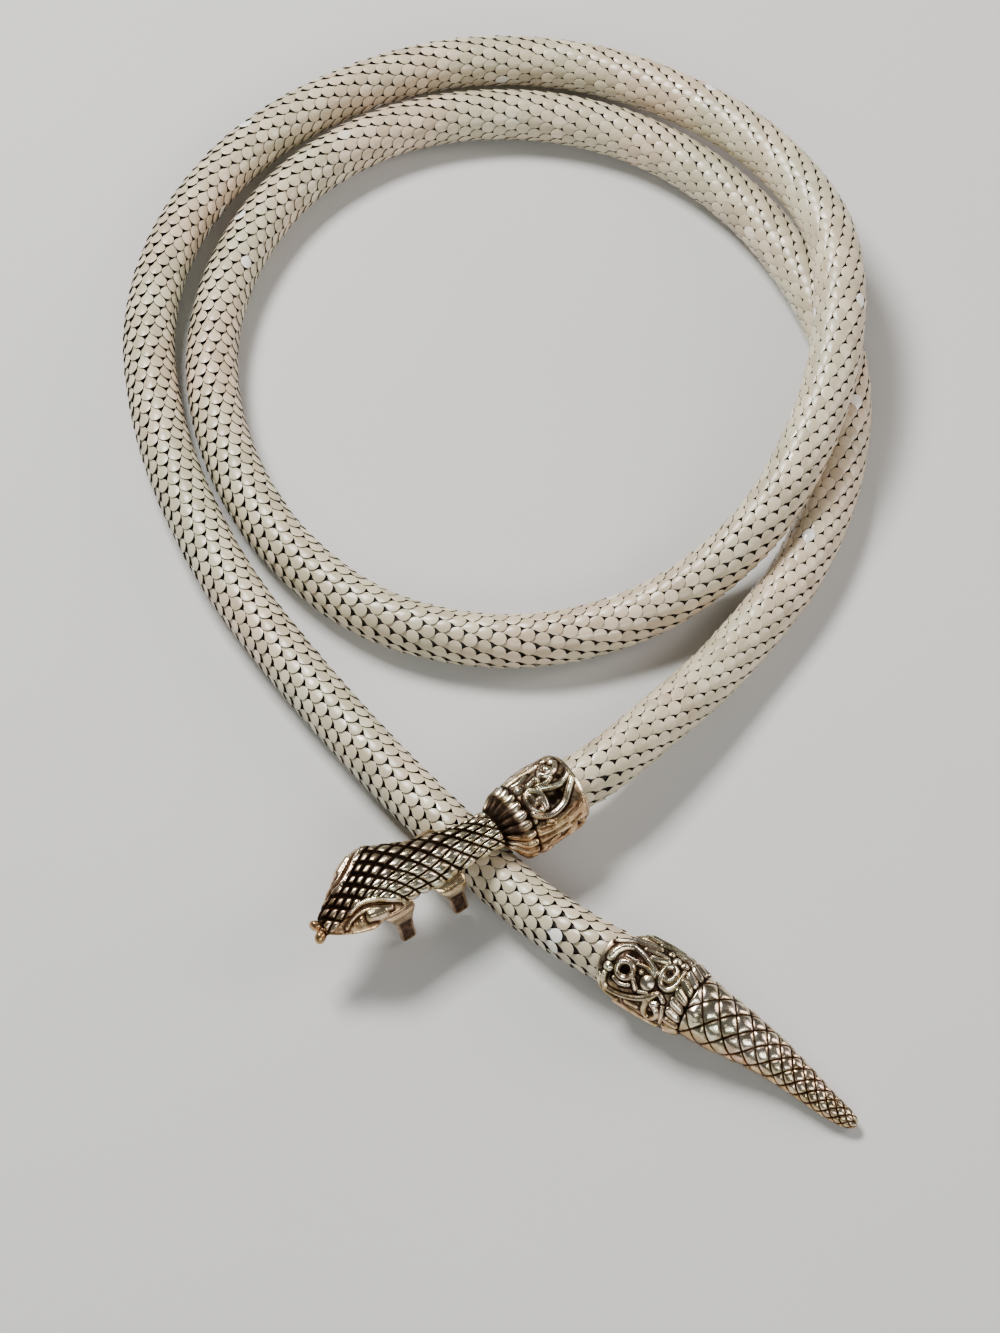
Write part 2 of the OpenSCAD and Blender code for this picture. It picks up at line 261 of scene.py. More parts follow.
def antique_metal():
    """Cast metal, blackened in its recesses and worn bright on what stands up, with painted shade over
    the head's top and far side and a painted rosy reflection from below.
    """
    material = bpy.data.materials.new("antique_metal")
    tree, shader = nodes_of(material)
    place = own_place(tree)
    wear_and_shade = own_value(tree, "wear_and_shade")
    warm_tint_and_reflection = own_value(tree, "warm_tint_and_reflection")
    patchy = math_node(tree, "SUBTRACT", noise(tree, place, 800, 5, 0.7), 0.5)
    worn = math_node(tree, "ADD", wear_and_shade, math_node(tree, "MULTIPLY", patchy, 0.85))
    pale = ramp(tree, worn, [(0.1, (0.009, 0.006, 0.004)), (0.38, (0.05, 0.035, 0.028)),
                             (0.62, (0.34, 0.28, 0.2)), (0.86, (0.77, 0.71, 0.58)),
                             (1, (0.96, 0.92, 0.82))])
    # Rosier metal mixed in by its attribute: partly the metal's own tint, partly a painted reflection
    # from below on the lower sides, lip and face.
    rosy = ramp(tree, worn, [(0.1, (0.02, 0.009, 0.005)), (0.38, (0.13, 0.06, 0.03)),
                             (0.62, (0.5, 0.3, 0.16)), (0.9, (0.9, 0.64, 0.42))])
    cloud = ramp(tree, noise(tree, place, 430, 3, 0.6), [(0.42, (0.6, 0.55, 0.46)), (0.6, grey(1))])
    tint = ramp(tree, noise(tree, place, 170, 2), [(0.4, (0.95, 0.97, 0.86)), (0.6, (1, 0.93, 0.9))])
    base = mixed(tree, 1, mixed(tree, warm_tint_and_reflection, pale, rosy), cloud, "MULTIPLY")
    base = mixed(tree, 1, base, tint, "MULTIPLY")
    tree.links.new(base, shader.inputs["Base Color"])
    shader.inputs["Metallic"].default_value = 1
    rough = ramp(tree, worn, [(0.1, grey(0.65)), (0.5, grey(0.4)), (0.95, grey(0.22))])
    tree.links.new(rough, shader.inputs["Roughness"])
    bumped(tree, shader, noise(tree, place, 600, 4, 0.6), 0.45, 0.0003)
    return material


# The mesh and its scales

ROW_PITCH = 2.55
SCALES_ROUND = 12
# Where the first row lies along the mesh, and how far from its end the last one stays
FIRST_ROW, END_GAP = 2.6, 3
# Radius at the scales' tips, how steeply they rise to them, and how the rows turn (per mm)
TIP_R = 5.2
RISE = math.atan(0.12)
DRIFT = 0.135 / 5.25
INSIDE_R = 4.33
# One scale's outline, from its tip along one side to its neck: half width and place along it
SCALE_OUTLINE = [
    (0, 1.5), (0.62, 1.31), (1.05, 0.84), (1.27, 0.15), (1.11, -0.5), (0.66, -1.13),
    (0.36, -2.35), (0, -2.35),
]
SCALE_THICK = 0.18
# Its worn edge: how wide, how far it drops, and how far the middle stands above it
EDGE_W, EDGE_DROP, DOME = 0.07, 0.03, 0.04


def mesh_curve(steps=16):
    """Points of the smooth curve through the route, and where each stretch begins."""
    points = [Vector((x, y, MESH_D / 2 + max(0.0, lift))) for x, y, lift in ROUTE]
    line = []
    for i in range(len(points) - 1):
        a, b = points[max(i - 1, 0)], points[i]
        c, d = points[i + 1], points[min(i + 2, len(points) - 1)]
        for k in range(steps):
            t = k / steps
            line.append(b + 0.5 * t * ((c - a) + t * ((2 * a - 5 * b + 4 * c - d)
                                                      + t * (3 * b - a - 3 * c + d))))
    line.append(points[-1])
    for p in line:
        p.z = max(p.z, MESH_D / 2)
    run = [0.0]
    for a, b in zip(line, line[1:]):
        run.append(run[-1] + (b - a).length)
    return line, run, run[SPLIT * steps]


LINE, RUN, SPLIT_RUN = mesh_curve()


def at_run(s):
    """The point of the mesh's middle line at a distance from its start, and its axes."""
    i = min(max(int(np.searchsorted(RUN, s)) - 1, 0), len(RUN) - 2)
    t = (s - RUN[i]) / (RUN[i + 1] - RUN[i])
    place = LINE[i].lerp(LINE[i + 1], t)
    before = LINE[i + 1] - LINE[max(i - 1, 0)]
    after = LINE[min(i + 2, len(LINE) - 1)] - LINE[i]
    along = before.lerp(after, t).normalized()
    side = along.cross(Vector((0, 0, 1))).normalized()
    return place, along, side, side.cross(along)


def scale_pattern():
    """One scale, its tip along +Y and its face along +Z."""
    bm = bmesh.new()
    n = 2 * (len(SCALE_OUTLINE) - 1)
    bmesh.ops.create_circle(bm, cap_ends=True, segments=n, radius=1)
    for v in bm.verts:
        k = round(math.atan2(-v.co.x, v.co.y) / (2 * math.pi) * n) % n
        half, along = SCALE_OUTLINE[min(k, n - k)]
        v.co = Vector((-half if k <= n / 2 else half, along, 0))
    bmesh.ops.recalc_face_normals(bm, faces=bm.faces)
    if bm.faces[0].normal.z < 0:
        bmesh.ops.reverse_faces(bm, faces=bm.faces)
    bmesh.ops.solidify(bm, geom=bm.faces[:], thickness=SCALE_THICK)
    face = max(bm.faces, key=lambda f: f.calc_center_median().z)
    bmesh.ops.inset_region(bm, faces=[face], thickness=EDGE_W, depth=EDGE_DROP,
                           use_even_offset=True)
    bmesh.ops.poke(bm, faces=[face], offset=DOME)
    bmesh.ops.recalc_face_normals(bm, faces=bm.faces)
    # The rim value is 0 on the underside, a half at the top's edge and 1 on the face
    rim = bm.verts.layers.float.new("rim")
    top = max(v.co.z for v in bm.verts)
    for v in bm.verts:
        below = top - v.co.z
        v[rim] = 0 if below > 0.1 else 0.5 if below > 0.06 else 1
        v.co.z -= top + v.co.x ** 2 / (2 * TIP_R)
    for edge in bm.edges:
        edge.smooth = edge.calc_face_angle(0) < math.radians(40)
    for face in bm.faces:
        face.smooth = True
    bmesh.ops.rotate(bm, verts=bm.verts, matrix=Matrix.Rotation(RISE, 3, "X"))
    bmesh.ops.scale(bm, verts=bm.verts, vec=(MM, MM, MM))
    pattern = bpy.data.meshes.new("scale")
    bm.to_mesh(pattern)
    bm.free()
    return pattern


def lay_scales(name, pattern, rows, material, chance):
    """Rows of scales round the mesh, in one piece."""
    bm = bmesh.new()
    tones = []
    for row in rows:
        place, along, side, top = at_run(row * ROW_PITCH + FIRST_ROW)
        for k in range(SCALES_ROUND):
            turn = 2 * math.pi * (k + row % 2 / 2) / SCALES_ROUND + DRIFT * row * ROW_PITCH
            out = math.cos(turn) * side + math.sin(turn) * top
            across = along.cross(out)
            spot = place + (TIP_R - 1.5 * math.tan(RISE)) * out
            axes = Matrix((across, along, out)).transposed().to_4x4()
            wobble = (Matrix.Rotation(math.radians(chance.gauss(0, 0.9)), 4, "X")
                      @ Matrix.Rotation(math.radians(chance.gauss(0, 1.3)), 4, "Y"))
            scale = pattern.copy()
            scale.transform(Matrix.Translation(spot * MM) @ axes @ wobble)
            bm.from_mesh(scale)
            bpy.data.meshes.remove(scale)
            tones.append(chance.random())
    piece = bpy.data.objects.new(name, bpy.data.meshes.new(name))
    bm.to_mesh(piece.data)
    bm.free()
    bpy.context.collection.objects.link(piece)
    count = len(pattern.vertices)
    rim = np.zeros(count)
    pattern.attributes["rim"].data.foreach_get("value", rim)
    for key, values in (("tone", np.repeat(tones, count)), ("rim", np.tile(rim, len(tones)))):
        layer = piece.data.attributes.new(key, "FLOAT", "POINT")
        layer.data.foreach_set("value", values)
    piece.data.materials.append(material)
    return piece


def inside_tube(name, start, end, material):
    """The tube that the scales are fixed on, near-black as painted shade."""
    curve = bpy.data.curves.new(name, "CURVE")
    curve.dimensions = "3D"
    curve.bevel_depth = INSIDE_R * MM
    curve.bevel_resolution = 6
    curve.use_fill_caps = True
    count = int((end - start) / 3)
    spline = curve.splines.new("POLY")
    spline.points.add(count)
    for k, point in enumerate(spline.points):
        place = at_run(start + (end - start) * k / count)[0]
        point.co = (*(place * MM), 1)
    drawn = bpy.data.objects.new(name, curve)
    bpy.context.collection.objects.link(drawn)
    graph = bpy.context.evaluated_depsgraph_get()
    mesh = bpy.data.meshes.new_from_object(drawn.evaluated_get(graph))
    bpy.data.objects.remove(drawn)
    bpy.data.curves.remove(curve)
    tube = bpy.data.objects.new(name, mesh)
    bpy.context.collection.objects.link(tube)
    bm = bmesh.new()
    bm.from_mesh(tube.data)
    bmesh.ops.remove_doubles(bm, verts=bm.verts, dist=1e-6)
    bmesh.ops.recalc_face_normals(bm, faces=bm.faces)
    bm.to_mesh(tube.data)
    bm.free()
    tube.data.materials.clear()
    tube.data.materials.append(material)
    for polygon in tube.data.polygons:
        polygon.use_smooth = True
    return tube


# Raised work on the castings

def smooth(shape, x, column, reach=0.5):
    """A column of a shape table at x, with its corners rounded over."""
    return sum(np.interp(x + d, shape[:, 0], shape[:, column])
               for d in (-reach, -reach / 2, 0, reach / 2, reach)) / 5


def step(low, high, value):
    t = np.clip((value - low) / (high - low), 0, 1)
    return t * t * (3 - 2 * t)


def off_line(px, py, line):
    """Distance of points to a line through points."""
    nearest = np.full(px.shape, 99.0)
    for (ax, ay), (bx, by) in zip(line, line[1:]):
        dx, dy = bx - ax, by - ay
        t = np.clip(((px - ax) * dx + (py - ay) * dy) / (dx * dx + dy * dy + 1e-12), 0, 1)
        nearest = np.minimum(nearest, np.hypot(px - ax - t * dx, py - ay - t * dy))
    return nearest


def bent(points, steps=5):
    """A smooth line through a few points."""
    p = [np.array(q, float) for q in points]
    line = []
    for i in range(len(p) - 1):
        a, b, c, d = p[max(i - 1, 0)], p[i], p[i + 1], p[min(i + 2, len(p) - 1)]
        for k in range(steps):
            t = k / steps
            line.append(b + 0.5 * t * ((c - a) + t * ((2 * a - 5 * b + 4 * c - d)
                                                      + t * (3 * b - a - 3 * c + d))))
    return [tuple(q) for q in line + [p[-1]]]


def rounded(distance, half):
    """A rounded ridge's height over its distance from the middle, from 0 to 1."""
    return np.cos(np.clip(distance / half / 1.15, 0, 1) * np.pi / 2) ** 1.2


def net(p, q):
    """A net of scales: how far a spot is from the nearest groove, 0 there and 1 in the middle
    of a scale, and the scale's height as a cushion, from 0 to 1."""
    across, along = 2 * np.abs(p - np.round(p)), 2 * np.abs(q - np.round(q))
    cushion = (1 - across ** 4) * (1 - along ** 4) * (1 - 0.2 * (across ** 2 + along ** 2))
    return 1 - np.maximum(across, along), cushion


# Raised work of one motif of each collar: mm from the rim, and mm round the collar from the
# motif's middle. Wires: points, half width, height. Beads and hollows: place, radius, height.
# Band: from where to where, round the collar, it's smooth. Strokes: lines cut into that.
TAIL_WORK = {
    "middle": 124,
    "span": 180,
    "wires": [
        ([(6.7, -0.1), (6.2, 1), (5.2, 1.4), (4.1, 1), (3.7, -0.1), (4.1, -1.2), (5.2, -1.6),
          (6.2, -1.2), (6.7, -0.1)], 0.52, 0.65),
        ([(1.8, -0.9), (2.1, -2.5), (3, -3.9), (4.4, -4.7)], 0.72, 0.6),
        ([(4.2, -4.8), (6.5, -4.2), (8.5, -3.4), (10.4, -2.4)], 0.5, 0.6),
        ([(4.3, -2.5), (6.4, -2.5)], 0.3, 0.25),
        ([(0.8, -4.3), (3, -5.7), (5.5, -6.6), (8.5, -7.1)], 0.5, 0.5),
        ([(8.4, -4.6), (9.6, -4.8), (11, -5.4)], 0.5, 0.5),
        ([(6.4, -5.6), (8.6, -6), (10.6, -6.1)], 0.3, 0.3),
        ([(14.5, -5.4), (14.6, -2.6), (13.6, -0.9), (12.1, -1), (11.3, -2.6), (11.4, -4.2),
          (12.4, -5.1), (13.4, -4.6), (13.5, -3.2), (12.8, -2.2), (12, -2.5)], 0.46, 0.6),
        ([(11, 3), (11, 5.4), (12.1, 6.5), (13.3, 5.8), (13.5, 4.4), (12.8, 3.5), (12.1, 3),
          (12.9, 2.6)], 0.48, 0.55),
        ([(11.4, 2.4), (12, 1.1), (12.8, 0.7), (13.8, 1.5)], 0.38, 0.5),
        ([(14.5, 6.2), (14.5, 4.2), (14.1, 2.6)], 0.36, 0.45),
        ([(6.8, -2.1), (8.3, -2.3), (10.4, -1.7)], 0.27, 0.35),
        ([(7.3, 0.7), (8.4, 2.1)], 0.38, 0.45),
        ([(3.9, 2.3), (5.4, 2.7), (6.9, 2.1)], 0.32, 0.4),
        ([(2, 2.5), (2.3, 4.4), (3.6, 5.3), (6, 4.9), (8, 4.2), (10.2, 3), (11.8, 1.4)], 0.48, 0.55),
        ([(1.2, 3.3), (1.5, 5.2), (3, 6.5), (5.4, 6.8)], 0.45, 0.45),
        ([(9.1, 2.2), (10.5, 1.6)], 0.24, 0.3),
        ([(7.5, 5.9), (9.4, 5.6)], 0.5, 0.25),
        ([(5, 8.3), (8, 8), (11, 8.4), (13.6, 8.2)], 0.5, 0.45),
        ([(5.4, 10.2), (9, 9.9), (12, 10.4)], 0.5, 0.4),
        ([(8, -8.6), (11, -9), (14, -8.6)], 0.4, 0.4),
    ],
    "beads": [(2.2, 1, 0.85, 0.6), (9.9, 0, 1.25, 0.45), (8, -1.1, 0.42, 0.4),
              (12.2, -6.7, 0.75, 0.5), (13.8, -6.8, 0.7, 0.5), (10.6, -7.6, 0.6, 0.4)],
    "hollows": [(5.2, -0.1, 1.2, 0.55), (5.2, -3, 1.3, 0.2), (12.6, -3.7, 0.5, 0.25),
                (12.3, 5, 0.5, 0.25)],
    "band": (-9.8, -7.6),
    "strokes": [[(5.5, -8.4), (9.5, -8), (12, -7.8)], [(6, -9.8), (9, -9.9)]],
}
HEAD_WORK = {
    "middle": 65,
    "span": 120,
    "wires": [
        ([(7.8, -0.9), (7.4, 0.4), (7.6, 2.1), (8.9, 3.4), (10.2, 2.7), (10.5, 1.2), (9.8, -0.4),
          (8.7, -0.9), (8.2, -0.2), (8.3, 1)], 0.42, 0.62),
        ([(9.2, 0.8), (9.3, 2.5)], 0.5, 0.5),
        ([(0.3, 3), (1.5, 1.9), (3, 1.3), (4.5, 1.4), (5.8, 1.9), (7.2, 2.6)], 0.46, 0.6),
        ([(4.2, 3.2), (5.5, 2.8), (7.2, 3.2)], 0.36, 0.5),
        ([(0.5, 1.4), (2, 0.1), (3, -0.8), (4, -1.7), (5, -2.2), (6.5, -2.5), (8, -2.4),
          (9.5, -1.7), (10.6, -0.6)], 0.5, 0.62),
        ([(3.6, 5.9), (5, 5.6), (5.2, 4.5), (4.3, 3.9), (3.2, 4), (2.2, 4.7), (1.6, 5.6)], 0.46, 0.55),
        ([(3.5, 7), (5.2, 5.5), (6.6, 3.7)], 0.34, 0.45),
        ([(7.4, 6.8), (9.4, 6.1), (10.6, 6.4)], 0.46, 0.45),
        ([(7.8, -3.7), (8.7, -3.2)], 0.28, 0.35),
        ([(6.6, 4.8), (8.4, 4.4)], 0.45, 0.35),
    ],
    "beads": [(3.6, 5, 0.7, 0.5), (2, 6.4, 0.65, 0.45), (10.4, 4.8, 0.8, 0.5),
              (10.9, -1.9, 0.4, 0.35)],
    "hollows": [(4.7, -0.2, 1.1, 0.45), (6.2, -0.4, 1.1, 0.45), (3, 2.6, 0.7, 0.25)],
    "band": (-7.2, -3.3),
    "strokes": [[(0.4, -2.4), (2.4, -3.7), (5.8, -4.5)], [(5.6, -5.8), (8.8, -5.6), (12, -4.9)],
                [(2.4, -5.8), (4.4, -6.4)], [(8.4, -4.4), (10.6, -3.7)], [(8, -6.9), (11, -6.8)]],
}
# The radius at which the motifs are measured round a collar
COLLAR_R = 6.8


def from_middle(angle, work):
    """Mm round a collar from the middle of the nearest motif."""
    span = work["span"]
    return np.radians((angle - work["middle"] + 720 + span / 2) % span - span / 2) * COLLAR_R


def collar_work(x, angle, work):
    """Height of a collar's scrollwork, and wear from 0 in its recesses to 1 on top."""
    s = from_middle(angle, work)
    turn = math.radians(work["span"]) * COLLAR_R
    height = np.zeros(x.shape)
    clear = np.full(x.shape, 9.0)
    for shift in (-turn, 0, turn):
        for points, half, tall in work["wires"]:
            distance = off_line(x, s + shift, bent(points))
            height = np.maximum(height, tall * rounded(distance, 1.12 * half))
            clear = np.minimum(clear, distance - half)
        for bx, bs, r, tall in work["beads"]:
            distance = np.hypot(x - bx, s + shift - bs)
            height = np.maximum(height, tall * rounded(distance, 1.1 * r))
            clear = np.minimum(clear, distance - r)
    wear_and_shade = np.maximum(np.clip(0.62 - clear / 0.45, 0, 1), 0.52 * step(0.15, 0.6, clear))
    low, high = work["band"]
    band = step(low - 0.5, low, s) * (1 - step(high - 0.3, high + 0.3, s)) * step(0, 0.3, clear)
    cut = np.min([off_line(x, s, bent(line)) for line in work["strokes"]], axis=0)
    height = np.maximum(height, (0.34 - 0.3 * rounded(cut, 0.4)) * band)
    wear_and_shade = np.maximum(wear_and_shade, np.clip(cut / 0.45, 0, 1) * 0.92 * band)
    for hx, hs, r, deep in work["hollows"]:
        inside = (1 - step(0.5 * r, r, np.hypot(x - hx, s - hs))) * step(-0.1, 0.05, clear)
        height = height - deep * inside
        wear_and_shade = wear_and_shade * (1 - inside)
    return height, wear_and_shade


def petals_work(x, angle, start, end, count, skew):
    """A ring of long drops: height and wear, from 0 to 1."""
    t = np.clip((x - start) / (end - start), 0, 1)
    cell = (angle - skew * t) / 360 * count
    aside = np.abs(cell - np.round(cell)) * 2
    width = (1.02 * np.clip(t / 0.25, 0.01, 1) ** 0.5 * (1 - 0.25 * t)
             * np.clip((1 - t) / 0.25, 0.01, 1) ** 0.5)
    ends = step(0, 0.12, t) * (1 - step(0.85, 1, t))
    return rounded(aside, width) * ends, np.clip(0.55 + 2.4 * (width - aside), 0, 1) * ends


# Castings

def loft(name, around, along, place):
    """A closed skin: a grid rolled up and laid by a function of its two counts."""
    bm = bmesh.new()
    bmesh.ops.create_grid(bm, x_segments=around, y_segments=along, size=0.5)
    mesh = bpy.data.meshes.new(name)
    bm.to_mesh(mesh)
    flat = np.zeros(len(mesh.vertices) * 3)
    mesh.vertices.foreach_get("co", flat)
    shares = flat.reshape(-1, 3)[:, :2] + 0.5
    turn = np.round(shares[:, 0] * around).astype(int) % around
    row = np.round(shares[:, 1] * along).astype(int)
    places, wear_and_shade, warm_tint_and_reflection = place(turn, row)
    mesh.vertices.foreach_set("co", (places * MM).ravel())
    for key, values in (("wear_and_shade", wear_and_shade), ("warm_tint_and_reflection", warm_tint_and_reflection)):
        layer = mesh.attributes.new(key, "FLOAT", "POINT")
        layer.data.foreach_set("value", np.clip(values, 0, 1))
    bm.clear()
    bm.from_mesh(mesh)
    bmesh.ops.remove_doubles(bm, verts=bm.verts, dist=1e-7)
    bmesh.ops.holes_fill(bm, edges=[e for e in bm.edges if e.is_boundary], sides=0)
    bmesh.ops.recalc_face_normals(bm, faces=bm.faces)
    for face in bm.faces:
        face.smooth = True
    bm.to_mesh(mesh)
    bm.free()
    return mesh


def turned(points, place, angle):
    """Points of a casting moved to where the casting lies."""
    a = math.radians(angle)
    x, y, z = points
    return np.stack([place[0] + x * math.cos(a) - y * math.sin(a),
                     place[1] + x * math.sin(a) + y * math.cos(a), place[2] + z], 1)


# Grids of the castings: rings down the socket, points round the tail, rings along it
BORE_XS = np.array([SOCKET_L, 3.2, 1.6, 0.5])
TAIL_AROUND = 248
TAIL_XS = np.concatenate([np.linspace(0, 17.7, 150), np.linspace(17.7, 52.2, 212)[1:]])
# Tail's scales: where each row's grooves cross, mm from the rim, and how far round that is
TAIL_ROWS = [17.8, 21.7, 25.6, 29.4, 32.7, 35.8, 38.4, 41.1, 43.6, 45.9, 48, 49.9, 51.6]
TAIL_TWIST = [(17.8, 100), (23.7, 109), (27.8, 116), (31, 121), (34.2, 129), (38, 133), (52, 133)]
# Petals: from, to, how many round, and how far they turn
TAIL_PETALS = (14.7, 17.9, 20, 14)
HEAD_PETALS = (11.3, 17.2, 21, 0)
# Tail collar's edge: it runs back between the motifs, mm round from the middle, mm back
TAIL_EDGE = [(-10.7, 4.4), (-7.6, 4.3), (-6.4, 3.4), (-5.5, 2.1), (-4.6, 0.8), (-3.8, 0.15), (0, 0),
             (3, 0.3), (4.6, 0.8), (5.6, 1.4), (6.6, 2.6), (7.6, 4), (10.7, 4.4)]


def tail_place(turn, row):
    """The tail's skin from its socket to its tip: where it is, its wear and its warmth."""
    inside = row < len(BORE_XS)
    angle = 360.0 * turn / TAIL_AROUND
    a = np.radians(angle)
    edge = np.interp(from_middle(angle, TAIL_WORK), *zip(*TAIL_EDGE))
    bore = BORE_XS[np.clip(row, 0, len(BORE_XS) - 1)]
    from_edge = TAIL_XS[np.clip(row - len(BORE_XS), 0, None)]
    x = np.where(inside, bore + edge * (1 - bore / SOCKET_L),
                 from_edge + edge * np.clip(1 - from_edge / 9, 0, 1))
    r = smooth(TAIL_SHAPE, x, 3)
    lines, lines_wear = collar_work(x, angle, TAIL_WORK)
    on_collar = step(0.1, 0.6, from_edge) * (1 - step(14.6, 15.2, x))
    drops, petal_wear_and_shade = petals_work(x, angle, *TAIL_PETALS)
    v = np.interp(x, TAIL_ROWS, range(-1, 12))
    u = (angle - np.interp(x, *zip(*TAIL_TWIST))) / 60
    cell, cushion = net(u + v, u - v)
    off_groove = cell * np.interp(x, [18, 52], [1.6, 0.65])
    on_scales = step(17.8, 18.2, x)
    boss = rounded(np.hypot(x - 19.7, np.radians(angle - 128) * 5.3), 1) * on_scales
    height = np.maximum.reduce([lines * on_collar, 0.5 * drops,
                                0.42 * np.clip(r / 3.4, 0.25, 1) * cushion * on_scales
                                + 0.3 * boss])
    wear_and_shade = np.maximum.reduce([lines_wear * on_collar, petal_wear_and_shade,
                              on_scales * np.clip(off_groove / 0.32, 0, 1),
                              0.8 * (1 - step(0.3, 0.7, from_edge))])
    tip = np.sqrt(np.clip(1 - ((x - 51.2) / 1) ** 2, 0.0004, 1)) * (x > 51.2) + (x <= 51.2)
    radius = np.where(inside, BORE_R, (r + height) * tip)
    wear_and_shade = np.where(inside, 0.1, wear_and_shade)
    # Painted reflection: the lower side is coloured rosier, as a reflection from the floor below, on
    # top of a slight rosy tint that grows toward the tip.
    low = step(146, 178, angle) * (1 - step(250, 290, angle))
    warm_tint_and_reflection = np.clip(0.12 + 0.75 * low + 0.3 * step(24, 42, x), 0, 1)
    points = (x, smooth(TAIL_SHAPE, x, 1) * ~inside + radius * np.cos(a),
              smooth(TAIL_SHAPE, x, 2) * ~inside + radius * np.sin(a))
    return turned(points, TAIL_AT, TAIL_TURN), wear_and_shade, warm_tint_and_reflection


# Points round the head, more of them over its top, and rings along it
HEAD_AROUND = 280
HEAD_XS = np.concatenate([np.linspace(0, 17, 128), np.linspace(17, 53, 176)[1:]])
# Lines of the face: mm along the head and mm from its middle, the same on both sides
BROW = [(39.7, 5.4), (41.5, 4.5), (43.2, 3.4), (45, 2.5), (46.8, 2), (48.4, 2)]
UNDER_BROW = [(41.6, 5.6), (43.3, 4.8), (45.1, 3.9), (46.9, 3.2), (48.6, 3), (50, 3.2)]
EYE = [(43, 5.5), (44.2, 5.2), (45.8, 4.7)]
BROW_HALF, UNDER_BROW_HALF, EYE_HALF = 0.5, 0.32, 0.85
# How far the near cheek is drawn in, and how much lower the far side's face lies
CHEEK_IN, FAR_DROP = 1.7, 1.3
# Net of the head's scales: x, how closely it is drawn along and across, and its slant there
HEAD_NET = np.array([(16, 1.1, 1.62, 0.28), (21, 1.1, 1.62, 0.28), (28, 1, 1, 0), (38, 1, 1, 0),
                     (45, 1.38, 1.38, 0), (53, 1.38, 1.38, 0)])


def head_net(x, y):
    """The head's net of scales, its cells' middles at whole numbers."""
    fine = np.linspace(16, 53, 371)
    gaps = np.interp(fine, HEAD_NET[:, 0], HEAD_NET[:, 1])
    slant = np.interp(fine, HEAD_NET[:, 0], HEAD_NET[:, 3])
    drawn = np.cumsum(gaps) * 0.1
    shift = np.cumsum(slant) * 0.1
    along = 28 + np.interp(x, fine, drawn - np.interp(28, fine, drawn))
    across = (y * np.interp(x, HEAD_NET[:, 0], HEAD_NET[:, 2])
              + np.interp(x, fine, shift - np.interp(28, fine, shift)))
    return net(0.285 * along + 0.231 * across - 0.41, -0.178 * along + 0.48 * across + 0.69)


